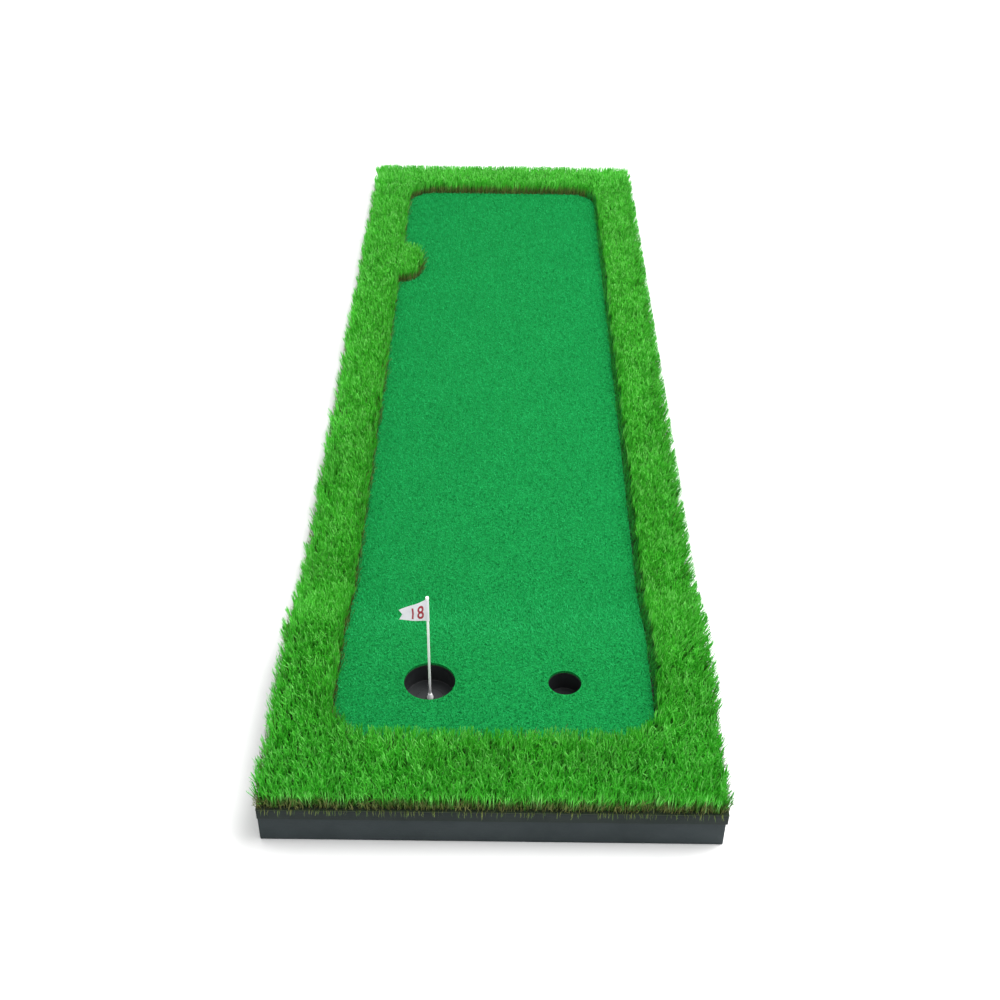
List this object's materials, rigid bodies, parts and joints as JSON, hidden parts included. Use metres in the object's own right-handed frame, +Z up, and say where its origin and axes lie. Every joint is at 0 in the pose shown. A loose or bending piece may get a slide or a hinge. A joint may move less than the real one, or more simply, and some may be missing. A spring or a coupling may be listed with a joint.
{
  "type": "practice putting mat",
  "caption": "Long indoor putting mat with a raised hole end: short turf green inside a fringe of long turf, on foam, with cups and a lift-out flagstick.",
  "frame": {"origin": "on the floor, under the middle of the mat's footprint", "axes": "+Y along the mat away from the hole end, +X to the right seen from the hole end, +Z up"},
  "size_m": [0.9, 3, 0.3306],
  "materials": {
    "foam_slate": "matte",
    "foam_dark": "matte",
    "coated_backing": "matte",
    "short_pile": "matte",
    "long_pile": "matte",
    "black_plastic": "satin",
    "white_plastic": "satin",
    "flag_film": "satin"
  },
  "bodies": {
    "mat": {"riser_block": "foam_slate", "underlay_hole_end": "foam_dark", "underlay_level": "foam_dark", "putting_backing": "coated_backing", "putting_pile": "short_pile", "fringe_front_backing": "coated_backing", "fringe_front_pile": "long_pile", "fringe_back_backing": "coated_backing", "fringe_back_pile": "long_pile", "fringe_left_backing": "coated_backing", "fringe_left_pile": "long_pile", "fringe_right_backing": "coated_backing", "fringe_right_pile": "long_pile", "cup_large": "black_plastic", "cup_small": "black_plastic"},
    "flagstick": {"flagstick_rod": "white_plastic", "flagstick_foot": "white_plastic", "flagstick_cap": "white_plastic"},
    "flag": {"flag": "flag_film"}
  },
  "joints": [
    {"name": "flagstick_lift", "type": "slide", "parent": "mat", "child": "flagstick", "axis": [0, 0, 1], "range_m": [0, 0.12]},
    {"name": "flag_turn", "type": "hinge", "parent": "flagstick", "child": "flag", "pos_m": [-0.1355, -1.158, 0.2944], "axis": [0, 0, 1], "continuous": true}
  ]
}
